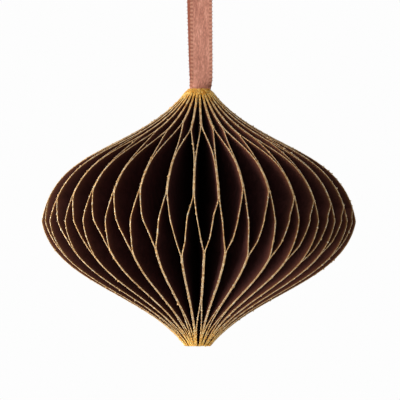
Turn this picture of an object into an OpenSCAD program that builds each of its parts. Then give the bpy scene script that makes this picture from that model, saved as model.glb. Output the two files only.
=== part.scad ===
// Honeycomb paper ornament: a ring of cards, each folded once in the middle, stands around
// an open core. Glue lines join every leaf by turns to the other leaf of its own card and to
// the leaf of the next card, so that the ring opens into rows of almond-shaped cells.
// A ribbon loop, glued into the core, hangs it up. The frame's origin is the inside top of
// that loop, where a hook or twig carries the ornament.

/* [Body] */
// Height of the paper body, from its tip to its cap
body_h = 62.8; // [50:0.4:80]
// Radius of the leaves at the belly, the widest level
belly_r = 38.5; // [30:0.5:46]
// Height of the belly as a share of the body's height
belly_share = 0.488; // [0.44:0.004:0.54]
// Width of a leaf's flat end at the cap, outside its fold
cap_rim = 0.5; // [0.3:0.1:1.6]
// Width of a leaf's flat end at the tip, outside its fold
tip_rim = 0.3; // [0.3:0.1:1.6]

/* [Outline of a leaf] */
// Sideways run of the curve out of the tip, as a share of the way to the belly
tip_run = 0.3; // [0.12:0.01:0.36]
// Rise of the curve out of the tip, as a share of the belly's height
tip_rise = 0.44; // [0.25:0.01:0.5]
// How long the outline stays full below the belly, as a share of the belly's height
low_full = 0.49; // [0.3:0.01:0.55]
// How long the outline stays full above the belly, as a share of the height above it
high_full = 0.59; // [0.4:0.01:0.65]
// How far the outline leans in on either side of the belly, which makes it a little pointed
belly_lean = 3; // [0:0.5:4]
// Sideways run of the curve into the cap, as a share of the way to the belly
cap_run = 0.35; // [0.18:0.01:0.4]
// Drop of the curve below the cap, as a share of the height above the belly
cap_drop = 0.48; // [0.3:0.01:0.55]

/* [Cards and glue lines] */
// Number of folded cards around the core
sheets = 36; // [30:1:40]
// Thickness of the card
card_t = 0.2; // [0.16:0.01:0.24]
// Thickness of the glue between two leaves
glue_t = 0.04; // [0.02:0.01:0.06]
// Turn of the first card's middle away from the ribbon's face, in degrees
first_turn = 1; // [-5:0.5:5]
// Top of the glue line between neighbours at the tip, as a share of the body's height
tip_glue_top = 0.048; // [0.04:0.004:0.1]
// Bottom of the glue line inside each card below the belly
low_glue_base = 0.172; // [0.14:0.004:0.26]
// Top of the glue line inside each card below the belly
low_glue_top = 0.372; // [0.34:0.004:0.4]
// Bottom of the glue line between neighbours above the belly
high_glue_base = 0.584; // [0.56:0.004:0.63]
// Top of the glue line between neighbours above the belly
high_glue_top = 0.692; // [0.66:0.004:0.74]
// Bottom of the glue line inside each card under the cap
cap_glue_base = 0.852; // [0.82:0.004:0.88]
// How briskly two leaves part below the cap: 1 is evenly, more is sooner
cap_swing = 2.6; // [1:0.2:4]
// How slowly two leaves part above the tip: 1 is evenly, more is later
tip_swing = 1.6; // [1:0.2:3]

/* [Ribbon] */
// Width of the satin ribbon
ribbon_w = 6; // [4:0.5:7]
// Thickness of the satin ribbon
ribbon_t = 0.2; // [0.16:0.01:0.26]
// Height of the loop's inside top above the cap
loop_h = 50; // [40:1:90]
// Half the distance between the two plies at the top of the loop
loop_r = 4; // [3:0.25:6]
// Length of each ribbon end glued into the core
tail_l = 20; // [12:1:30]

/* [Hidden] */
// Half the angle that one folded card takes up around the core
half_turn = 180 / sheets;
// The folds stand side by side, which sets the radius of the core
fold_r = (card_t + glue_t / 2) / tan(half_turn);
core_r = fold_r - card_t;
cap_r = fold_r + cap_rim;
tip_r = fold_r + tip_rim;
belly_z = belly_share * body_h;

// Outline of a leaf in two curves that meet at the belly, as [radius, height]
low_curve = [
    [tip_r, 0],
    [tip_r + tip_run * (belly_r - tip_r), tip_rise * belly_z],
    [belly_r - belly_lean, belly_z * (1 - low_full)],
    [belly_r, belly_z],
];
high_curve = [
    [belly_r, belly_z],
    [belly_r - belly_lean, belly_z + high_full * (body_h - belly_z)],
    [cap_r + cap_run * (belly_r - cap_r), body_h - cap_drop * (body_h - belly_z)],
    [cap_r, body_h],
];

// Heights where a glue line starts or ends, from the tip up
joints_z = body_h * [0, tip_glue_top, low_glue_base, low_glue_top, high_glue_base,
                     high_glue_top, cap_glue_base, 1];
// Where the leaf is at each of those heights: 0 at its card's own middle, 1 at the neighbour
joints_side = [1, 1, 0, 0, 1, 1, 0, 0];
// Steps of the surface between one of those heights and the next
joints_steps = [1, 3, 3, 5, 2, 5, 3];

// Play between the ribbon and the folds, and between the two ribbon ends in the core
core_play = 0.03;
// Radius of the middle of each ply's curl in the core: the back ply lies inside the front one
front_r = core_r * cos(half_turn) - core_play - ribbon_t / 2;
back_r = front_r - ribbon_t - core_play * 3;
// Steps across the ribbon, and round the top of its loop
ribbon_steps = 4;
loop_steps = 8;
// Angle that each ply is curled up to in the core
front_curl = ribbon_w / front_r * 180 / PI;
back_curl = ribbon_w / back_r * 180 / PI;
// Route of each ply as [place beside the axis, height above the cap, angle of its curl]
front_ply = [
    [-front_r, -tail_l, front_curl],
    [-front_r, 0, front_curl],
    [-front_r, 0.7, 0.75 * front_curl],
    [-front_r, 1.5, 0.4 * front_curl],
    [-front_r, 2.5, 0.15 * front_curl],
    [-front_r, 4, 0],
    [-0.6 * loop_r, 0.35 * loop_h, 0],
    [-0.85 * loop_r, 0.65 * loop_h, 0],
];
back_ply = [
    [0.85 * loop_r, 0.65 * loop_h, 0],
    [0.6 * loop_r, 0.35 * loop_h, 0],
    [back_r, 4.5, 0],
    [back_r, 3, 0.25 * back_curl],
    [back_r, 2, 0.55 * back_curl],
    [back_r, 1, 0.85 * back_curl],
    [back_r, 0, back_curl],
    [back_r, -tail_l, back_curl],
];
// The top of the loop is a half circle whose inside touches the hook
loop_top = [
    for (i = [0 : loop_steps])
        let (a = 180 - i * 180 / loop_steps)
            [loop_r * cos(a), loop_h - loop_r + ribbon_t / 2 + loop_r * sin(a), 0]
];
ribbon_route = concat(front_ply, loop_top, back_ply);

function sheet_name(k) = str("sheet_", k < 10 ? "0" : "", k);

// Point of a cubic curve at t
function curve_point(c, t) =
    pow(1 - t, 3) * c[0] + 3 * pow(1 - t, 2) * t * c[1] + 3 * (1 - t) * t * t * c[2] + pow(t, 3) * c[3];

// Radius of a curve at a height, found by halving the stretch that holds it
function radius_on(c, z, low = 0, high = 1, halvings = 24) =
    let (middle = (low + high) / 2, p = curve_point(c, middle))
        halvings == 0 ? p[0]
        : p[1] < z ? radius_on(c, z, middle, high, halvings - 1)
        : radius_on(c, z, low, middle, halvings - 1);

function leaf_radius(z) = z < belly_z ? radius_on(low_curve, z) : radius_on(high_curve, z);

// Side of a leaf at a share u of the way up between joint i and the next: evenly across the
// belly, brisk under the cap, slow above the tip, and unchanged along a glue line
function side_between(i, u) =
    joints_side[i] == joints_side[i + 1] ? joints_side[i]
    : joints_side[i] == 0 ? u
    : i == 1 ? pow(1 - u, tip_swing)
    : 1 - pow(u, cap_swing);

// Levels of a card as [height, side]
levels = concat(
    [for (i = [0 : len(joints_steps) - 1], j = [0 : joints_steps[i] - 1])
        let (u = j / joints_steps[i])
            [joints_z[i] + (joints_z[i + 1] - joints_z[i]) * u,
             side_between(i, u)]],
    [[body_h, joints_side[len(joints_side) - 1]]]
);

function over(p) = [p[0], -p[1]];

// Section of one folded card at a level: back of the fold, one leaf out and in, other leaf
function card_section(level) =
    let (
        r = leaf_radius(level[0]),
        side = level[1],
        along = [cos(half_turn), sin(half_turn)],
        across = [-sin(half_turn), cos(half_turn)],
        near_neighbour = r * along - (glue_t / 2 + card_t) * across,
        far_neighbour = r * along - glue_t / 2 * across,
        near = (1 - side) * [r, glue_t / 2] + side * near_neighbour,
        far = (1 - side) * [r, glue_t / 2 + card_t] + side * far_neighbour,
        back = core_r * along - glue_t / 2 * across
    )
        [over(back), over(far), over(near), [fold_r, 0], near, far, back];

// Skin over rings of n points each, all counter-clockwise seen from the last ring; the first
// half of a ring has its diagonals one way and the rest the other way, so both leaves match
function skin_faces(rings, n) = concat(
    [[for (i = [0 : n - 1]) i]],
    [for (j = [0 : rings - 2], i = [0 : n - 1])
        let (a = j * n + i, b = j * n + (i + 1) % n)
            each i < (n - 1) / 2 ? [[a, a + n, b + n], [a, b + n, b]] : [[a, a + n, b], [a + n, b + n, b]]],
    [[for (i = [n - 1 : -1 : 0]) (rings - 1) * n + i]]
);

// One card, folded once, with its two leaves
module sheet(k)
    color("#3b2320")
    translate([0, 0, -loop_h - body_h])
    rotate(-90 + first_turn + (k - 1) * 2 * half_turn)
    polyhedron(
        points = [for (level = levels, p = card_section(level)) [p[0], p[1], level[0]]],
        faces = skin_faces(len(levels), 7)
    );

// Ring of the ribbon at one place of its route
function ribbon_section(i) =
    let (
        here = ribbon_route[i],
        before = ribbon_route[max(i - 1, 0)],
        after = ribbon_route[min(i + 1, len(ribbon_route) - 1)],
        step = [after[0] - before[0], after[1] - before[1]],
        way = step / norm(step),
        out = [0, -way[1], way[0]],
        middle = [0, here[0], here[1]],
        shares = [for (j = [0 : ribbon_steps]) j / ribbon_steps - 0.5]
    )
        concat(
            [for (share = shares) ribbon_point(middle, out, here[2], share, ribbon_t / 2)],
            [for (share = shares) ribbon_point(middle, out, here[2], -share, -ribbon_t / 2)]
        );

// Point across the ribbon, share of the width from its middle, on a strip that curls inwards
function ribbon_point(middle, out, curl, share, lift) =
    let (
        a = curl * share,
        bend_r = curl == 0 ? 0 : ribbon_w / curl * 180 / PI,
        x = curl == 0 ? ribbon_w * share : bend_r * sin(a),
        sunk = bend_r * (1 - cos(a)),
        normal = [sin(a), 0, 0] + cos(a) * out
    )
        middle + [x, 0, 0] - sunk * out + lift * normal;

// The satin ribbon: one strip from the core up, round the top of the loop and back into the core
module ribbon_loop()
    color("#c98677")
    translate([0, 0, -loop_h])
    polyhedron(
        points = [for (i = [0 : len(ribbon_route) - 1]) each ribbon_section(i)],
        faces = skin_faces(len(ribbon_route), 2 * (ribbon_steps + 1))
    );

for (k = [1 : sheets])
    sheet(k);
ribbon_loop();
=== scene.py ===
# %% [markdown]
# This lesson dresses a honeycomb paper ornament. On the real thing, dark brown cards are
# folded once and glued to each other round an open core, gold glitter is rolled onto their
# outer edges, and a rose copper satin ribbon is glued into the core as a loop.
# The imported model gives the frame: where the cards and the ribbon are, in metres, with the
# origin at the inside top of the ribbon loop. Everything below is worked out from it.

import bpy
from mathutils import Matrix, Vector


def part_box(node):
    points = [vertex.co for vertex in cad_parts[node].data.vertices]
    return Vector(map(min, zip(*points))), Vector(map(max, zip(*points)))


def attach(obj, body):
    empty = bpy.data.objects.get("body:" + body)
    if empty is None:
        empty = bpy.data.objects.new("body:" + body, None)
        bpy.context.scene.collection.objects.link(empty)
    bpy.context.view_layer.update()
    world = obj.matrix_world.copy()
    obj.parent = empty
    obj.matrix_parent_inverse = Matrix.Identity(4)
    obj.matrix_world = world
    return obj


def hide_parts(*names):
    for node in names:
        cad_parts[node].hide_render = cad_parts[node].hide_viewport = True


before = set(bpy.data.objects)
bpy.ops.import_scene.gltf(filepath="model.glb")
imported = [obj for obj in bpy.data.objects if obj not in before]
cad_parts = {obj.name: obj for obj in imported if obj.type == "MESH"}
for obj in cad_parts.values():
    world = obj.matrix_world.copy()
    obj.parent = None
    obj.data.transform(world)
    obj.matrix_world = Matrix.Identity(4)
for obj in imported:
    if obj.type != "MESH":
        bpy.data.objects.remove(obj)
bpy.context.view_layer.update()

# %% [markdown]
# Paper craft is measured in millimetres and Blender works in metres, so one constant turns
# the first into the second. The few sizes that the solids' boxes can't tell, such as the
# thickness of the card, are written here by name.

# %% Driving sizes
import math
import random

import bpy
import numpy as np
from mathutils import Matrix, Vector

MM = 0.001
CARDS = sum(name.startswith("sheet_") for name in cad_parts)
ribbon_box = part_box("ribbon_loop")
card_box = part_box("sheet_01")

TIP_Z = card_box[0].z
CAP_Z = card_box[1].z
BODY_H = CAP_Z - TIP_Z
BELLY_R = 38.5 * MM
BELLY_SHARE = 0.488
BELLY_Z = TIP_Z + BELLY_SHARE * BODY_H
CARD_T = 0.2 * MM
GLUE_T = 0.04 * MM
FIRST_TURN = math.radians(1.0)
TURN = 2 * math.pi / CARDS
FOLD_R = (CARD_T + GLUE_T / 2) / math.tan(TURN / 2)
CORE_R = FOLD_R - CARD_T
CAP_RIM = 0.5 * MM
TIP_RIM = 0.3 * MM
CAP_R = FOLD_R + CAP_RIM
TIP_R = FOLD_R + TIP_RIM
print(CARDS, "cards, body", round(BODY_H / MM, 1), "mm high and",
      round(2 * BELLY_R / MM, 1), "mm across")

# %% [markdown]
# The camera comes first, because the ribbon is measured against what it sees. It stands
# level with the body, a little below its middle, and far enough off for a long lens, as a
# product photograph is taken. Sizes in the picture are in pixels of a 400 pixel image.

# %% Camera
PICTURE_PX = 400
PX_PER_MM = 4.08
CAMERA_DISTANCE = 0.65
CAMERA_BELOW = math.radians(1.2)
CAMERA_ROLL = math.radians(0.12)
BODY_MIDDLE_PX = (198.93, 218.8)
SENSOR_MM = 36

centre_px = PICTURE_PX / 2
aim = Vector((
    (centre_px - BODY_MIDDLE_PX[0]) / PX_PER_MM * MM,
    0,
    (TIP_Z + CAP_Z) / 2 + (BODY_MIDDLE_PX[1] - centre_px) / PX_PER_MM * MM,
))
away = Vector((0, -math.cos(CAMERA_BELOW), -math.sin(CAMERA_BELOW)))
camera_data = bpy.data.cameras.new("camera")
camera_data.sensor_width = SENSOR_MM
camera_data.lens = SENSOR_MM * PX_PER_MM / MM * CAMERA_DISTANCE / PICTURE_PX
camera = bpy.data.objects.new("camera", camera_data)
bpy.context.scene.collection.objects.link(camera)
camera.rotation_mode = "QUATERNION"
camera.location = aim + away * CAMERA_DISTANCE
roll = Matrix.Rotation(CAMERA_ROLL, 3, "Z").to_quaternion()
camera.rotation_quaternion = (-away).to_track_quat("-Z", "Y") @ roll
bpy.context.scene.camera = camera
print("lens", round(camera_data.lens), "mm, at", round(CAMERA_DISTANCE, 2), "m")

# %% [markdown]
# A finish is a small network of nodes. One helper adds any kind of node: named settings go
# on the node, and each input takes a number, a colour or the output of another node. The
# short helpers after it stand for the few nodes that every finish needs again.
# Colours are written as the hex codes that a paint card shows, and turned linear here.

# %% Helpers for finishes
def colour(code):
    """Linear colour of a hex code such as #c98677."""
    parts = [int(code[i:i + 2], 16) / 255 for i in (1, 3, 5)]
    return [*[p / 12.92 if p <= 0.04045 else ((p + 0.055) / 1.055) ** 2.4 for p in parts], 1]


def connect(tree, socket, value):
    """Gives a socket a value, or the output of another node."""
    if isinstance(value, bpy.types.NodeSocket):
        tree.links.new(value, socket)
    else:
        socket.default_value = value


def add(tree, kind, settings=None, **inputs):
    """Adds a node. An input is named with _ for each space, or as at6 for input number 6."""
    made = tree.nodes.new(kind)
    for name, value in (settings or {}).items():
        setattr(made, name, value)
    for name, value in inputs.items():
        by_number = name.startswith("at") and name[2:].isdigit()
        key = int(name[2:]) if by_number else name.replace("_", " ")
        connect(tree, made.inputs[key], value)
    return made


def feed(tree, shader, **inputs):
    """Gives a shader its inputs, each named with _ for each space."""
    for name, value in inputs.items():
        connect(tree, shader.inputs[name.replace("_", " ")], value)


def ramp(tree, fac, *stops):
    """Colour ramp through (place, hex code) stops."""
    made = add(tree, "ShaderNodeValToRGB", Fac=fac)
    steps = made.color_ramp.elements
    while len(steps) < len(stops):
        steps.new(0.5)
    for step, (place, code) in zip(steps, stops):
        step.position = place
        step.color = colour(code)
    return made.outputs["Color"]


def maths(tree, operation, a, b=0.0):
    return add(tree, "ShaderNodeMath", {"operation": operation}, at0=a, at1=b).outputs[0]


def vector_maths(tree, operation, a, **inputs):
    made = add(tree, "ShaderNodeVectorMath", {"operation": operation}, at0=a, **inputs)
    return made.outputs[0]


def weighted(tree, a, part_a, b, part_b):
    """Sum of two patterns, each taken by its own part."""
    return maths(tree, "ADD", maths(tree, "MULTIPLY", a, part_a),
                 maths(tree, "MULTIPLY", b, part_b))


def clouds(tree, place, scale, **inputs):
    return add(tree, "ShaderNodeTexNoise", Vector=place, Scale=scale, **inputs).outputs["Fac"]


def rise(tree, value, start, end, **inputs):
    """0 at the start and 1 at the end of a range, or what To_Min and To_Max say."""
    made = add(tree, "ShaderNodeMapRange", Value=value, From_Min=start, From_Max=end, **inputs)
    return made.outputs[0]


def laid_over(tree, amount, below, above):
    """One colour laid over another by an amount from 0 to 1."""
    made = add(tree, "ShaderNodeMix", {"data_type": "RGBA"}, at0=amount, at6=below, at7=above)
    return made.outputs[2]


def own_place(tree):
    """Place in the frame, in metres."""
    return add(tree, "ShaderNodeTexCoord").outputs["Object"]


def mesh_map(tree, name):
    return add(tree, "ShaderNodeUVMap", {"uv_map": name}).outputs["UV"]


def axis_of(tree, vector, axis):
    return add(tree, "ShaderNodeSeparateXYZ", Vector=vector).outputs[axis]


def finish_of(name):
    """New material with an empty network and a Principled shader ready for its inputs."""
    made = bpy.data.materials.new(name)
    made.use_nodes = True
    tree = made.node_tree
    tree.nodes.clear()
    shader = add(tree, "ShaderNodeBsdfPrincipled")
    add(tree, "ShaderNodeOutputMaterial", Surface=shader.outputs["BSDF"])
    return made, tree, shader


print("helpers ready; mahogany is", [round(v, 3) for v in colour("#4a2a22")])

# %% [markdown]
# The card is cotton paper dyed through in a brown that is nearly black. What shows is a
# felt of short fibres: blotches in the colour, and a fine tooth that keeps the surface matt.
# Noise gives both, at two sizes. Beside the outer edge a warm glow is painted into the
# colour: painted light for the light that reaches into the open cells and fades inward.
# Where the glitter was rolled on, the brown ends in a rim of gold. The mesh carries how far
# each point is from that edge, in millimetres, as its map.

# %% Dyed card
BLOTCH = 1.6 * MM
FIBRE = 0.22 * MM
TOOTH = 0.04 * MM
# painted light: the glow beside the edge keeps this share of itself per millimetre inward
PAINTED_GLOW_PER_MM = 0.36
PAINTED_GLOW_LEAST = 0.25
RIM_ENDS_MM = 0.38
RIM_FULL_MM = 0.08


def make_card_finish():
    made, tree, shader = finish_of("dyed_cotton_card")
    place = own_place(tree)
    blotch = clouds(tree, place, 1 / BLOTCH, Detail=4)
    fibre = clouds(tree, place, 1 / FIBRE, Detail=3, Distortion=1.5)
    felt = weighted(tree, blotch, 0.55, fibre, 0.45)
    brown = ramp(tree, felt, (0.3, "#2b1716"), (0.5, "#3d201f"), (0.72, "#4e2a29"))
    inward = axis_of(tree, mesh_map(tree, "edge_mm"), 0)
    # painted light: a warm brown glow beside the outer edge, fading with depth into the cell
    near = maths(tree, "POWER", PAINTED_GLOW_PER_MM, maths(tree, "MAXIMUM", inward, 0.0))
    painted_glow = maths(tree, "MULTIPLY", near, maths(tree, "ADD", fibre, PAINTED_GLOW_LEAST))
    glow_painted_brown = laid_over(tree, painted_glow, brown, colour("#8a5440"))
    rim = maths(tree, "MULTIPLY", rise(tree, inward, RIM_ENDS_MM, RIM_FULL_MM), fibre)
    rimmed = laid_over(tree, rim, glow_painted_brown, colour("#cc9c5c"))
    tooth = add(tree, "ShaderNodeBump", Strength=0.5, Distance=TOOTH, Height=fibre)
    feed(tree, shader, Base_Color=rimmed, Roughness=0.9, Specular_IOR_Level=0.08,
         Normal=tooth.outputs["Normal"])
    return made


card_finish = make_card_finish()
print("made", card_finish.name)

# %% [markdown]
# Glitter is a crust of tiny metal flakes in glue, each turned its own way. A cell pattern
# gives every flake of a sixth of a millimetre its own tilt, so some catch the light and their
# neighbours don't, and its own tint, from dark gold up to nearly white, which paints
# highlights into some flakes. Round the cap and the tip, where all the edges meet, the crust
# is deeper and its gold richer, so a second colour ramp takes over by height.

# %% Gold glitter
FLAKE = 0.16 * MM
FLAKE_TILT = 0.9
TINT_DRIFT = 0.9 * MM
RICH_FROM = 25 * MM
RICH_FULL = 30.5 * MM


def make_glitter_finish():
    made, tree, shader = finish_of("gold_glitter_in_glue")
    place = own_place(tree)
    flake = add(tree, "ShaderNodeTexVoronoi", Vector=place, Scale=1 / FLAKE).outputs["Color"]
    tint = add(tree, "ShaderNodeSeparateColor", Color=flake).outputs[0]
    drift = maths(tree, "SUBTRACT", clouds(tree, place, 1 / TINT_DRIFT, Detail=2), 0.5)
    tint = maths(tree, "ADD", tint, maths(tree, "MULTIPLY", drift, 1.1))
    # painted highlight: the palest tints, nearly white, paint sparkle into the flakes' colour
    pale = ramp(tree, tint, (0.0, "#9a6c3e"), (0.3, "#c69c64"), (0.65, "#e8c690"),
                (1.0, "#fff4d8"))
    rich = ramp(tree, tint, (0.0, "#a06319"), (0.3, "#d4942c"), (0.65, "#fcc44c"),
                (1.0, "#fff0a8"))
    off_middle = maths(tree, "SUBTRACT", axis_of(tree, place, 2), (TIP_Z + CAP_Z) / 2)
    thick = rise(tree, maths(tree, "ABSOLUTE", off_middle), RICH_FROM, RICH_FULL)
    gold = laid_over(tree, thick, pale, rich)
    normal = add(tree, "ShaderNodeNewGeometry").outputs["Normal"]
    centred = vector_maths(tree, "SUBTRACT", flake, at1=(0.5, 0.5, 0.5))
    tilt = vector_maths(tree, "SCALE", centred, Scale=FLAKE_TILT)
    turned = vector_maths(tree, "NORMALIZE", vector_maths(tree, "ADD", normal, at1=tilt))
    feed(tree, shader, Base_Color=gold, Metallic=0.3, Roughness=0.42, Specular_IOR_Level=0.2,
         Normal=turned)
    return made


glitter_finish = make_glitter_finish()
print("made", glitter_finish.name)

# %% [markdown]
# Satin ribbon shows long warp threads that float over the weft, so it is smooth and shines
# in streaks along its length, with a firm ribbed edge on each side. The shine of the streaks
# is painted sheen in the colour, broad darker bands are painted shade of soft folds, and the
# ribs are painted lighter on their crests and darker between them. The mesh carries two
# measures as its map: millimetres across the ribbon and millimetres along it. The reverse
# side is duller. The woven strip is a little narrower than the solid ribbon, because the
# loops of thread along its edges take up the rest of the width.

# %% Satin
RIBBON_W = ribbon_box[1].x - ribbon_box[0].x
STRIP_W = RIBBON_W - 0.65 * MM
PICOT_STEP = 0.95 * MM
THREAD_MM = 0.16
SHOT_MM = 0.3
TWILL_MM = 0.25
EDGE_FROM_MM = 0.85
EDGE_FULL_MM = 0.6
WEAVE_RELIEF = 0.05 * MM


def make_back_finish():
    made, tree, shader = finish_of("satin_reverse")
    twill = clouds(tree, mesh_map(tree, "weave_mm"), 1 / TWILL_MM, Detail=3)
    paint = ramp(tree, twill, (0.3, "#9a5540"), (0.7, "#c0745c"))
    feed(tree, shader, Base_Color=paint, Roughness=0.8)
    return made


def waves(tree, place, step):
    return maths(tree, "SINE", maths(tree, "MULTIPLY", place, 2 * math.pi / step))


def make_satin_finish():
    made, tree, shader = finish_of("rose_copper_satin")
    place = mesh_map(tree, "weave_mm")
    across, along = axis_of(tree, place, 0), axis_of(tree, place, 1)
    # streaks are long patches: the second number of each pair is millimetres along
    fine = clouds(tree, vector_maths(tree, "MULTIPLY", place, at1=(1 / 0.3, 1 / 1.1, 1)), 1,
                  Detail=4, Roughness=0.7)
    fold_shade_band = clouds(tree, vector_maths(tree, "MULTIPLY", place, at1=(1 / 1.3, 1 / 9.0, 1)), 1,
                  Detail=2)
    # painted sheen and painted shade: light streaks and darker fold bands in the colour
    sheen_streak = weighted(tree, fine, 0.62, fold_shade_band, 0.38)
    satin = ramp(tree, sheen_streak, (0.35, "#9c5543"), (0.5, "#d08a74"), (0.65, "#f8b8a2"))
    half_mm = STRIP_W / 2 / MM
    edge = rise(tree, maths(tree, "ABSOLUTE", across), half_mm - EDGE_FROM_MM,
                half_mm - EDGE_FULL_MM)
    beat = maths(tree, "MULTIPLY", along, 2 * math.pi / (PICOT_STEP / MM))
    ribs = maths(tree, "SINE", maths(tree, "ADD", beat, maths(tree, "MULTIPLY", fold_shade_band, 6.0)))
    rib_height = maths(tree, "ADD", maths(tree, "MULTIPLY", ribs, 0.5), 0.5)
    # painted light and shade: rib crests lighter, the gaps between ribs darker
    ribbed = ramp(tree, rib_height, (0.1, "#ae6a54"), (0.6, "#ca866e"), (1.0, "#dc9c82"))
    paint = laid_over(tree, edge, satin, ribbed)
    weave = weighted(tree, waves(tree, across, THREAD_MM), 0.5, waves(tree, along, SHOT_MM), 0.25)
    raised = maths(tree, "MULTIPLY", maths(tree, "MULTIPLY", ribs, edge), 0.8)
    bump = add(tree, "ShaderNodeBump", Strength=0.6, Distance=WEAVE_RELIEF,
               Height=maths(tree, "ADD", weave, raised))
    feed(tree, shader, Base_Color=paint, Roughness=0.48, Anisotropic=0.5, Sheen_Weight=0.25,
         Sheen_Roughness=0.4, Normal=bump.outputs["Normal"])
    return made


satin_finish = make_satin_finish()
back_finish = make_back_finish()
print("made", satin_finish.name, "and", back_finish.name)

# %% [markdown]
# Every piece ends as a mesh of points and faces in the frame's own metres. One helper makes
# the object, smooths it where faces meet at a shallow angle, and ties it to the frame. The
# others list the faces of a tube and store the measures that a finish reads as its map.

# %% From points to a piece
def make_piece(name, points, faces, material, sharp=40):
    mesh = bpy.data.meshes.new(name)
    mesh.from_pydata([tuple(p) for p in points], [], faces)
    mesh.materials.append(material)
    mesh.shade_smooth()
    mesh.set_sharp_from_angle(angle=math.radians(sharp))
    mesh.validate()
    piece = bpy.data.objects.new(name, mesh)
    bpy.context.scene.collection.objects.link(piece)
    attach(piece, "root")
    return piece


def grid_faces(rows, columns):
    """Faces over rows of points, each row closed on itself."""
    return [
        (j * columns + i, j * columns + (i + 1) % columns,
         (j + 1) * columns + (i + 1) % columns, (j + 1) * columns + i)
        for j in range(rows - 1) for i in range(columns)
    ]


def tube_faces(rows, columns):
    """Faces of a closed tube, with one face over each end."""
    faces = grid_faces(rows, columns)
    faces.append(tuple(range(columns - 1, -1, -1)))
    faces.append(tuple((rows - 1) * columns + i for i in range(columns)))
    return faces


def moved_on(faces, start):
    """The same faces for points that come after others."""
    return [tuple(start + i for i in face) for face in faces]


def add_map(piece, name, measures):
    """Stores a pair of measures for each point as the piece's map."""
    layer = piece.data.uv_layers.new(name=name)
    for corner in piece.data.loops:
        layer.data[corner.index].uv = measures[corner.vertex_index]


print("a ring of 4 points over 3 rows has", len(grid_faces(3, 4)), "faces")

# %% [markdown]
# All leaves share one outline: an onion whose two curves meet at a slightly pointed belly.
# Each half is a cubic curve, so four points say it all. Heights are looked up on it later,
# which is easier from a dense list of its points than by solving the curve.

# %% Outline of a leaf
BELLY_LEAN = 3 * MM
# shares of the way from the tip or the cap to the belly, sideways and upwards
TIP_RUN = 0.3
TIP_RISE = 0.44
LOW_FULL = 0.49
HIGH_FULL = 0.59
CAP_RUN = 0.35
CAP_DROP = 0.48
OUTLINE_POINTS = 200


def cubic(points, t):
    a, b, c, d = (np.array(p) for p in points)
    t = t[:, None]
    return (1 - t) ** 3 * a + 3 * (1 - t) ** 2 * t * b + 3 * (1 - t) * t ** 2 * c + t ** 3 * d


def outline():
    low_h = BELLY_Z - TIP_Z
    high_h = CAP_Z - BELLY_Z
    t = np.linspace(0, 1, OUTLINE_POINTS)
    low = cubic([
        (TIP_R, TIP_Z),
        (TIP_R + TIP_RUN * (BELLY_R - TIP_R), TIP_Z + TIP_RISE * low_h),
        (BELLY_R - BELLY_LEAN, BELLY_Z - LOW_FULL * low_h),
        (BELLY_R, BELLY_Z),
    ], t)
    high = cubic([
        (BELLY_R, BELLY_Z),
        (BELLY_R - BELLY_LEAN, BELLY_Z + HIGH_FULL * high_h),
        (CAP_R + CAP_RUN * (BELLY_R - CAP_R), CAP_Z - CAP_DROP * high_h),
        (CAP_R, CAP_Z),
    ], t)
    return np.vstack([low, high[1:]])


OUTLINE = outline()


def leaf_radius(z):
    return np.interp(z, OUTLINE[:, 1], OUTLINE[:, 0])


third = float(leaf_radius(TIP_Z + BODY_H / 3))
print("radius at a third of the height:", round(third / MM, 1), "mm")

# %% [markdown]
# A card touches planes that stand round the core like the hands of a clock: its own middle,
# where its two leaves are glued to each other, and the plane it shares with each neighbour.
# From the cap down it is glued at its middle, to the neighbour, at its middle and to the
# neighbour again. A hand-made ornament is never quite regular: on the side that faces the
# camera, most glue lines sit up to four degrees from their places, and a few at the far left
# and right up to nine. Those turns were judged from the photograph, one line at a time, and
# so were the heights where the glue ends. The rest of the ring gets small seeded ones.

# %% Hand-made places of the glue lines
CRAFT = random.Random(36)
# turns away from the regular place in degrees, from the left side to the right one
CAP_DRIFT = [
    -1, -2, -2, -1, -0.9, -1.2, 0.2, 1, 1.9, 1.2, 2.1, 1.9, 1.7, 2.4, 3.2, 3.5, 3.5, 3, 2,
]
HIGH_DRIFT = [
    -3, -5, -7, -9, -8, -2.6, -0.4, 0.3, 0.9, 1.7, 2.2, 2.2, 1.2, 0.7, 0.9, 1.2, 0.8, 0.8,
    1.1, 6, 7, 6, 4, 2,
]
LOW_DRIFT = [
    -3, -5, -6, -6, -2.2, 1.4, 2.4, 2.7, 2.6, 2.6, 2.2, 1.1, -0.7, -1.3, -1.4, -2.5, -3.1,
    -3.9, -1.8, 2, 4, 3, 2,
]
TIP_DRIFT = [6.5, 5.5, 4, 3, -2.5, 2.5, -6, -5.5, -1.5, -5]
# heights above the tip where a glue line starts or ends, in mm, from the left side to the right
CAP_ENDS = [51.3, 52.3, 52.3, 54.3, 52.3, 53.3, 52.8, 52.8, 51.3, 50.3, 49.8]
HIGH_ENDS = [
    36, 37, 36, 36.9, 38, 37.2, 37.7, 37, 36, 35.2, 38, 37.6, 35.8, 35.3, 34.5, 34, 34, 35,
]
LOW_STARTS = [
    20.6, 22.7, 22.1, 24, 23.2, 24.3, 22.3, 23.3, 23.3, 22.5, 22, 21.5, 20.8, 22.8, 22.5,
]
LOW_ENDS = [6, 9, 10, 4.5, 12, 5, 11, 9, 7]


def ring(front, usual, play):
    """One value per card: the list lies round the first card, and the rest is seeded."""
    values = [usual + CRAFT.uniform(-play, play) for _ in range(CARDS)]
    for i, value in enumerate(front):
        values[(i - len(front) // 2) % CARDS] = value
    return values


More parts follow.
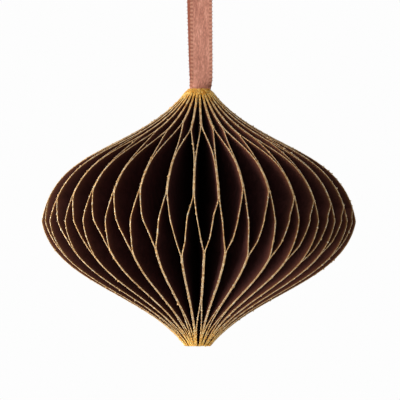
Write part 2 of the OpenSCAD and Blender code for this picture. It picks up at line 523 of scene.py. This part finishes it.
cap_turn = [math.radians(v) for v in ring(CAP_DRIFT, 0, 0.7)]
high_turn = [math.radians(v) for v in ring(HIGH_DRIFT, 0, 0.7)]
low_turn = [math.radians(v) for v in ring(LOW_DRIFT, 0, 0.7)]
tip_turn = [math.radians(v) for v in ring(TIP_DRIFT, 0, 1.5)]
cap_glue_end = [TIP_Z + v * MM for v in ring(CAP_ENDS, 52, 1.5)]
high_glue_end = [TIP_Z + v * MM for v in ring(HIGH_ENDS, 35.5, 1.5)]
low_glue_start = [TIP_Z + v * MM for v in ring(LOW_STARTS, 23, 1)]
low_glue_end = [TIP_Z + v * MM for v in ring(LOW_ENDS, 9, 2.5)]
print("on the first card the glue under the cap ends",
      round((cap_glue_end[0] - TIP_Z) / MM, 1), "mm above the tip")

# %% [markdown]
# Between two glue lines a leaf swings from one plane to the next. Paper leaves a glue line
# at once and at an angle. Under the cap it swings quickly and then lies against the
# neighbour. Below it, its way has one knee a little above the widest level and another
# close to the next glue line, and how far it has gone at each knee depends on the side of
# the ornament. Near the tip it starts slowly.

# %% Swing of a leaf
HIGH_FALL = 10.4 * MM
TIP_GLUE = 2.0 * MM
LOW_KNEE = 3.1 * MM
KNEE = BELLY_Z + 1.1 * MM
CAP_SWING = 2.6
TIP_SWING = 1.6
KNEE_PLAY = 0.04
BACK_FROM = 75  # degrees away from the front
PLANE_CHANGE = 4 * MM


def share(z, start, end):
    return np.clip((z - start) / (end - start), 0, 1)


def knees(card, side):
    """How far the leaf is on its way down to its card's middle, at the belly and below it."""
    place = (math.degrees(card * TURN + side * TURN / 2) + 180) % 360 - 180
    play = CRAFT.uniform(-KNEE_PLAY, KNEE_PLAY)
    if abs(place) > BACK_FROM:
        return 0.35 + play, 0.68 + play
    if side > 0:
        return (0.42 if place > -50 else 0.25) + play, 0.67 + play
    return max(0.23 - 0.0042 * place, 0) + play / 2, 0.65 - 0.0045 * place + play


leaf_knees = {(card, side): knees(card, side) for card in range(CARDS) for side in (-1, 1)}
leaf_fall = {key: HIGH_FALL * CRAFT.uniform(0.8, 1.15) for key in leaf_knees}


def swing(z, card, shared, side):
    """How far a leaf is from its card's middle (0) to the plane shared with the neighbour (1)."""
    high_end, low_start = high_glue_end[shared], low_glue_start[card]
    top = cap_glue_end[card]
    high = 1 - (1 - share(z, top, top - leaf_fall[card, side])) ** CAP_SWING
    at_belly, below = leaf_knees[card, side]
    middle = np.interp(z, [low_start, low_start + LOW_KNEE, KNEE, high_end],
                       [0, 1 - below, 1 - at_belly, 1])
    low = share(z, low_glue_end[card], TIP_Z + TIP_GLUE) ** TIP_SWING
    return np.where(z > high_end, high, np.where(z > low_start, middle, low))


def plane_turn(z, upper, lower, middle):
    """A plane's turn changes smoothly where no leaf is on it, round a middle height."""
    s = share(z, TIP_Z + middle - PLANE_CHANGE, TIP_Z + middle + PLANE_CHANGE)
    return lower + (upper - lower) * s * s * (3 - 2 * s)


sample = np.array([CAP_Z, BELLY_Z + 10 * MM, BELLY_Z, TIP_Z + 18 * MM, TIP_Z])
print("first card's right leaf swings", np.round(swing(sample, 0, 0, 1), 2))

# %% [markdown]
# One card is one piece: a section is worked out at each height, as a closed ring of points
# that runs along one leaf and back, through the fold, and round the other leaf. Joined from
# tip to cap, the rings give both leaves their thickness, their swing and their fold. The
# cards end a hair above the solids' tip and reach a hair above their cap, with rounded
# corners there, as the photograph's outline asks, and the tip leans a little to the left.

# %% Cards
LEVELS = 96
LEAF_STEPS = 5
MOUTH_H = 2.5 * MM
MOUTH = 0.3 * MM
ROUNDED = 0.5 * MM
ROUNDED_H = 0.8 * MM
TIP_LEAN = -0.2 * MM
TIP_LEAN_H = 14 * MM
TIP_SHORT = 0.4 * MM
CAP_OVER = 0.2 * MM
HIGH_CHANGE = 39.5 * MM
LOW_CHANGE = 17.5 * MM
levels = np.linspace(TIP_Z + TIP_SHORT, CAP_Z + CAP_OVER, LEVELS)


def on_plane(radius, turn, offset):
    """Points at a radius on a plane through the axis, moved sideways by offset."""
    turn = turn + np.zeros_like(levels)
    lean = TIP_LEAN * share(levels, TIP_Z + TIP_LEAN_H, TIP_Z)
    x = radius * np.sin(turn) + offset * np.cos(turn) + lean
    y = -radius * np.cos(turn) + offset * np.sin(turn)
    return np.stack([x, y, levels], axis=1)


def between(a, b, s):
    s = np.asarray(s)[..., None]
    return a + (b - a) * s


def card_edges(card):
    """For each leaf of a card: points of its outer edge inside and outside, and of its fold."""
    regular = FIRST_TURN + card * TURN
    middle = plane_turn(levels, regular + cap_turn[card], regular + low_turn[card], HIGH_CHANGE)
    radius = leaf_radius(levels) - ROUNDED * share(levels, CAP_Z - ROUNDED_H, levels[-1]) ** 2
    mouth = share(levels, CAP_Z - MOUTH_H, CAP_Z) ** 2 * MOUTH
    leaves = []
    for side in (-1, 1):
        shared = card if side > 0 else (card - 1) % CARDS
        place = regular + side * TURN / 2
        plane = plane_turn(levels, place + high_turn[shared], place + tip_turn[shared],
                           LOW_CHANGE)
        s = swing(levels, card, shared, side)
        near = between(on_plane(radius, middle, side * GLUE_T / 2),
                       on_plane(radius, plane, -side * (GLUE_T / 2 + CARD_T)), s)
        far = between(on_plane(radius, middle, side * (GLUE_T / 2 + CARD_T)),
                      on_plane(radius, plane, -side * GLUE_T / 2), s)
        back = on_plane(CORE_R + mouth, place, -side * GLUE_T / 2)
        leaves.append((near, far, back))
    notch = on_plane(FOLD_R + mouth, middle, 0)
    return leaves, notch


def make_card(card):
    (left, right), notch = card_edges(card)
    steps = np.linspace(0, 1, LEAF_STEPS + 1)
    columns = [between(left[2], left[1], s) for s in steps]
    columns += [between(left[0], notch, s) for s in steps]
    columns += [between(notch, right[0], s) for s in steps[1:]]
    columns += [between(right[1], right[2], s) for s in steps]
    points = np.stack(columns, axis=1).reshape(-1, 3)
    width = len(columns)
    faces = tube_faces(LEVELS, width)
    piece = make_piece(f"card_{card + 1:02d}", points, faces, card_finish)
    inward = [*(1 - steps), *steps, *(1 - steps[1:]), *steps]
    depth = np.outer((leaf_radius(levels) - CORE_R) / MM, inward).ravel()
    up = np.repeat((levels - TIP_Z) / MM, width)
    add_map(piece, "edge_mm", list(zip(depth, up)))
    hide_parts(f"sheet_{card + 1:02d}")
    return piece


cards = [make_card(card) for card in range(CARDS)]
print("made", len(cards), "cards of", len(cards[0].data.polygons), "faces")

# %% [markdown]
# The glitter sits on each leaf's outer edge as a thin uneven bead, and closes over the
# pointed ends. A bead is a tube along the edge with a ring of six points every quarter of a
# millimetre, wider than it is high. Its radius wavers and each point is nudged, so that it
# looks sprinkled on. It thickens to a crust at the cap, and a few grains stand out.

# %% Glitter edges
BEAD_W = 0.12 * MM
BEAD_H = 0.065 * MM
BEAD_STEP = 0.26 * MM
BEAD_SIDES = 6
CAP_CRUST, CAP_CRUST_H = 0.9, 2.5 * MM
TIP_CRUST, TIP_CRUST_H = 0.2, 7 * MM
GRAIN, GRAIN_SHARE = 2.1, 0.02
END_COVER = 0.8
grains = np.random.default_rng(2024)


def resample(path, step):
    lengths = np.concatenate([[0], np.cumsum(np.linalg.norm(np.diff(path, axis=0), axis=1))])
    places = np.linspace(0, lengths[-1], int(lengths[-1] / step) + 1)
    return np.stack([np.interp(places, lengths, path[:, i]) for i in range(3)], axis=1)


def bead(path):
    """Points and faces of a grainy tube along a path."""
    path = resample(path, BEAD_STEP)
    way = np.gradient(path, axis=0)
    way /= np.linalg.norm(way, axis=1)[:, None]
    out = path * np.array([1, 1, 0])
    out /= np.linalg.norm(out, axis=1)[:, None]
    across = np.cross(way, out)
    across /= np.linalg.norm(across, axis=1)[:, None]
    up = np.cross(across, way)
    count = len(path)
    waver = 1 + 0.16 * np.repeat(grains.standard_normal(count // 3 + 2), 3)[:count].clip(-1.5, 2)
    lump = np.where(grains.random(count) < GRAIN_SHARE, GRAIN, 1.0)
    at_cap = share(path[:, 2], CAP_Z - CAP_CRUST_H, CAP_Z)
    at_tip = share(path[:, 2], TIP_Z + TIP_CRUST_H, TIP_Z)
    crust = 1 + CAP_CRUST * at_cap + TIP_CRUST * at_tip
    turns = np.arange(BEAD_SIDES) * 2 * math.pi / BEAD_SIDES
    nudge = 1 + 0.14 * grains.standard_normal((count, BEAD_SIDES)).clip(-2, 2)
    thick = np.maximum(lump, crust)
    size = ((waver * thick)[:, None] * nudge)[..., None]
    wide = BEAD_W * np.cos(turns)[None, :, None] * across[:, None, :]
    high = BEAD_H * thick[:, None, None] * np.sin(turns)[None, :, None] * up[:, None, :]
    rings = path[:, None, :] + size * (wide + high)
    return rings.reshape(-1, 3), tube_faces(count, BEAD_SIDES)


def make_glitter(card):
    leaves, notch = card_edges(card)
    points, faces = [], []
    for near, far, _ in leaves:
        edge = (near + far) / 2
        path = np.vstack([between(edge[0], notch[0], END_COVER), edge,
                          between(edge[-1], notch[-1], END_COVER)])
        more, links = bead(path)
        faces += moved_on(links, len(points))
        points += list(more)
    name = f"glitter_edge_{card + 1:02d}"
    return make_piece(name, points, faces, glitter_finish, sharp=70)


glitter = [make_glitter(card) for card in range(CARDS)]
print("made", len(glitter), "pairs of glitter edges of", len(glitter[0].data.polygons), "faces")

# %% [markdown]
# The ribbon is one strip: up out of the core, round the top of its loop and down again. In
# the core each end is curled up, and it flattens just above the cap. The route is the one
# of the solid ribbon: place beside the axis and height above the cap, in millimetres, and
# the angle of the curl. On the photograph the back ply shows its dull side as a darker
# strip on the left, so the plies drift sideways a little on their way.

# %% Ribbon
RIBBON_T = 0.2 * MM
LOOP_H = -CAP_Z / MM
LOOP_R = 4.0
FRONT_R = CORE_R / MM * math.cos(TURN / 2) - 0.13
BACK_R = FRONT_R - 0.29
TAIL = 20
LOOP_STEPS = 12
LOOP_MIDDLE = LOOP_H - LOOP_R + RIBBON_T / 2 / MM
RIBBON_STEPS = 24
PICOT_THREAD = 0.05 * MM
PICOT_R = 0.12 * MM
PICOT_FROM = 0.8 * MM
PICOT_BENDS = 7
PICOT_SIDES = 5
PICOT_PAINT = (RIBBON_W / 2 / MM, 0.24)  # the place on the ribbed edge whose colour they take
NEARLY_FLAT = 1e-4
ROUTE = [
    (-FRONT_R, -TAIL, 175), (-FRONT_R, -3, 170), (-1.75, -1.2, 130), (-1.5, 0, 85),
    (-1.6, 0.9, 50), (-1.8, 1.8, 20), (-FRONT_R, 3.5, 0),
    (-0.6 * LOOP_R, 0.35 * LOOP_H, 0), (-0.85 * LOOP_R, 0.65 * LOOP_H, 0),
]
ROUTE += [
    (LOOP_R * math.cos(math.pi * (1 - i / LOOP_STEPS)),
     LOOP_MIDDLE + LOOP_R * math.sin(math.pi * i / LOOP_STEPS), 0)
    for i in range(LOOP_STEPS + 1)
]
ROUTE += [
    (0.85 * LOOP_R, 0.65 * LOOP_H, 0), (0.6 * LOOP_R, 0.35 * LOOP_H, 0), (BACK_R, 4.5, 0),
    (1.5, 2.5, 25), (1.3, 1, 60), (1.3, 0, 90), (BACK_R, -1.5, 150), (BACK_R, -3, 190),
    (BACK_R, -TAIL, 205),
]


def smooth_route(step=0.4 * MM):
    """The route through its points on a smooth curve, every step, as points and curl angles."""
    rough = np.array([(y * MM, CAP_Z + z * MM, math.radians(curl)) for y, z, curl in ROUTE])
    lengths = np.concatenate([[0], np.cumsum(np.hypot(*np.diff(rough[:, :2], axis=0).T))])
    slopes = np.gradient(rough, lengths, axis=0)
    places = np.linspace(0, lengths[-1], int(lengths[-1] / step))
    i = np.clip(np.searchsorted(lengths, places, side="right") - 1, 0, len(lengths) - 2)
    h = (lengths[i + 1] - lengths[i])[:, None]
    t = ((places - lengths[i]) / h[:, 0])[:, None]
    return ((1 + 2 * t) * (1 - t) ** 2 * rough[i] + t * (1 - t) ** 2 * h * slopes[i]
            + t * t * (3 - 2 * t) * rough[i + 1] + t * t * (t - 1) * h * slopes[i + 1])


def sideways(height, back):
    """Drift of the ribbon along X at a height above the cap, in metres, on the back ply or not."""
    lean = np.interp(height / MM, [-3, -0.5, 0.6, 3, 7, 12, 22, 50],
                     [0, 0.05, 0.3, 0.55, 0.55, 0.5, 0.42, 0.3])
    peek = np.interp(height / MM, [1, 4, 8, 12, 22, 40, 50],
                     [0, -0.27, -0.42, -0.52, -0.74, -0.74, 0])
    return (lean + peek * back) * MM


line = smooth_route()
heights = line[:, 1] - CAP_Z
is_back = (line[:, 0] > 0).astype(float)
centre = np.stack([sideways(heights, is_back), line[:, 0], line[:, 1]], axis=1)
way = np.gradient(centre, axis=0)
way[:, 0] = 0
way /= np.linalg.norm(way, axis=1)[:, None]
outward = np.stack([np.zeros(len(way)), -way[:, 2], way[:, 1]], axis=1)
along_mm = np.concatenate([[0], np.cumsum(np.linalg.norm(np.diff(centre, axis=0), axis=1))]) / MM


def ribbon_columns(lift):
    """Columns of points across the ribbon, lifted off its middle, with their place across."""
    columns, places = [], []
    for i in range(RIBBON_STEPS + 1):
        place = (i / RIBBON_STEPS - 0.5) * STRIP_W
        curl = np.maximum(line[:, 2], NEARLY_FLAT)
        angle = curl * place / RIBBON_W
        bend = RIBBON_W / curl
        x = bend * np.sin(angle)
        sunk = bend * (1 - np.cos(angle))
        normal = np.cos(angle)[:, None] * outward
        normal[:, 0] += np.sin(angle)
        point = centre - sunk[:, None] * outward + lift * normal
        point[:, 0] += x
        columns.append(point)
        places.append(place)
    return columns, places


def picots():
    """Small loops of thread along both edges of the ribbon, where it is out of the core."""
    points, faces = [], []
    for side in (-1, 1):
        for n in range(int(along_mm[-1] * MM / PICOT_STEP)):
            at = int(np.searchsorted(along_mm, (n + 0.5) * PICOT_STEP / MM))
            if heights[at] < PICOT_FROM:
                continue
            angle = line[at, 2] / 2
            edge = centre[at].copy()
            edge[0] += side * STRIP_W / 2 * (math.sin(angle) / angle if angle > 1e-3 else 1)
            if angle > 1e-3:
                edge -= RIBBON_W / line[at, 2] * (1 - math.cos(angle)) * outward[at]
            out = np.array([side, 0, 0])
            faces += moved_on(grid_faces(PICOT_BENDS, PICOT_SIDES), len(points))
            for b in range(PICOT_BENDS):
                a = math.pi * b / (PICOT_BENDS - 1)
                radial = math.sin(a) * out - math.cos(a) * way[at]
                middle = edge + PICOT_R * radial
                for s in range(PICOT_SIDES):
                    c = 2 * math.pi * s / PICOT_SIDES
                    round_it = math.cos(c) * radial + math.sin(c) * outward[at]
                    points.append(middle + PICOT_THREAD * round_it)
    return points, faces


def make_ribbon():
    outer, places = ribbon_columns(RIBBON_T / 2)
    inner, _ = ribbon_columns(-RIBBON_T / 2)
    columns = outer + inner[::-1]
    across = places + places[::-1]
    rows, width = len(line), len(columns)
    points = list(np.stack(columns, axis=1).reshape(-1, 3))
    faces = tube_faces(rows, width)
    measures = [(across[i] / MM, along_mm[j]) for j in range(rows) for i in range(width)]
    loops, loop_faces = picots()
    faces += moved_on(loop_faces, len(points))
    measures += [PICOT_PAINT] * len(loops)
    points += loops
    piece = make_piece("satin_ribbon", points, faces, satin_finish, sharp=60)
    add_map(piece, "weave_mm", measures)
    piece.data.materials.append(back_finish)
    for face in piece.data.polygons[:width * (rows - 1)]:
        if face.index % width > RIBBON_STEPS:
            face.material_index = 1
    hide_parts("ribbon_loop")
    return piece


ribbon = make_ribbon()
print("ribbon is", round(along_mm[-1], 1), "mm long, with", len(ribbon.data.polygons), "faces")

# %% [markdown]
# The picture was taken in a white room with a large soft light on the left and a smaller
# one below it. The room itself is brighter on the left too, which leaves the right half of
# the ornament duller, as in the photograph. The white that the camera and shiny flakes see
# is only painted on what their own rays meet, so it adds no light to the dull card. A pale
# floor well below the ornament throws a little light up, as a table would.

# %% Room and lights
SEEN_WHITE = "#fdfdfd"
ROOM_LEFT = 0.95
ROOM_RIGHT = 0.1
FLOOR_HALF = 0.9
FLOOR_DROP = 0.85
FLOOR_GLOW = 0.7
MOTTLE = 40 * MM


def seen_rays(tree):
    """1 on what the camera, a mirror or a clear thing sees, and 0 on what lights the ornament."""
    rays = add(tree, "ShaderNodeLightPath").outputs
    shiny = maths(tree, "MAXIMUM", rays["Is Glossy Ray"], rays["Is Transmission Ray"])
    return maths(tree, "MAXIMUM", rays["Is Camera Ray"], shiny)


def make_world():
    world = bpy.data.worlds.new("white_room")
    bpy.context.scene.world = world
    world.use_nodes = True
    tree = world.node_tree
    tree.nodes.clear()
    seen = add(tree, "ShaderNodeBackground", Color=colour(SEEN_WHITE), Strength=1.0)
    side = axis_of(tree, add(tree, "ShaderNodeTexCoord").outputs["Generated"], 0)
    fall = rise(tree, side, -1.0, 0.55, To_Min=ROOM_LEFT, To_Max=ROOM_RIGHT)
    lit = add(tree, "ShaderNodeBackground", Color=colour("#f4f2ef"), Strength=fall)
    both = add(tree, "ShaderNodeMixShader", at0=seen_rays(tree), at1=lit.outputs[0],
               at2=seen.outputs[0])
    add(tree, "ShaderNodeOutputWorld", Surface=both.outputs[0])


def make_light(name, place, size, power, tint):
    data = bpy.data.lights.new(name, "AREA")
    data.shape = "DISK"
    data.size = size
    data.energy = power
    data.color = colour(tint)[:3]
    light = bpy.data.objects.new(name, data)
    bpy.context.scene.collection.objects.link(light)
    middle = Vector((0, 0, (TIP_Z + CAP_Z) / 2))
    light.location = middle + Vector(place)
    light.rotation_mode = "QUATERNION"
    light.rotation_quaternion = (middle - light.location).to_track_quat("-Z", "Y")


def make_floor():
    corners = [(-1, -1), (1, -1), (1, 1), (-1, 1)]
    mesh = bpy.data.meshes.new("floor")
    mesh.from_pydata([(x * FLOOR_HALF, y * FLOOR_HALF, TIP_Z - FLOOR_DROP) for x, y in corners],
                     [], [(0, 1, 2, 3)])
    made, tree, shader = finish_of("pale_floor")
    mottle = clouds(tree, own_place(tree), 1 / MOTTLE)
    glow = maths(tree, "MULTIPLY", seen_rays(tree), FLOOR_GLOW)
    feed(tree, shader, Base_Color=ramp(tree, mottle, (0.3, "#e6e4e0"), (0.7, "#efedea")),
         Roughness=0.7, Emission_Color=colour(SEEN_WHITE), Emission_Strength=glow)
    mesh.materials.append(made)
    floor = bpy.data.objects.new("floor", mesh)
    bpy.context.scene.collection.objects.link(floor)


make_world()
make_floor()
make_light("key_light", place=(-0.72, -0.2, 0.26), size=0.5, power=6.5, tint="#fff6ec")
make_light("low_light", place=(-0.6, -0.24, -0.44), size=0.4, power=4.0, tint="#fffaf4")
bpy.context.scene.view_settings.view_transform = "Standard"
print("white room, floor and two lights")
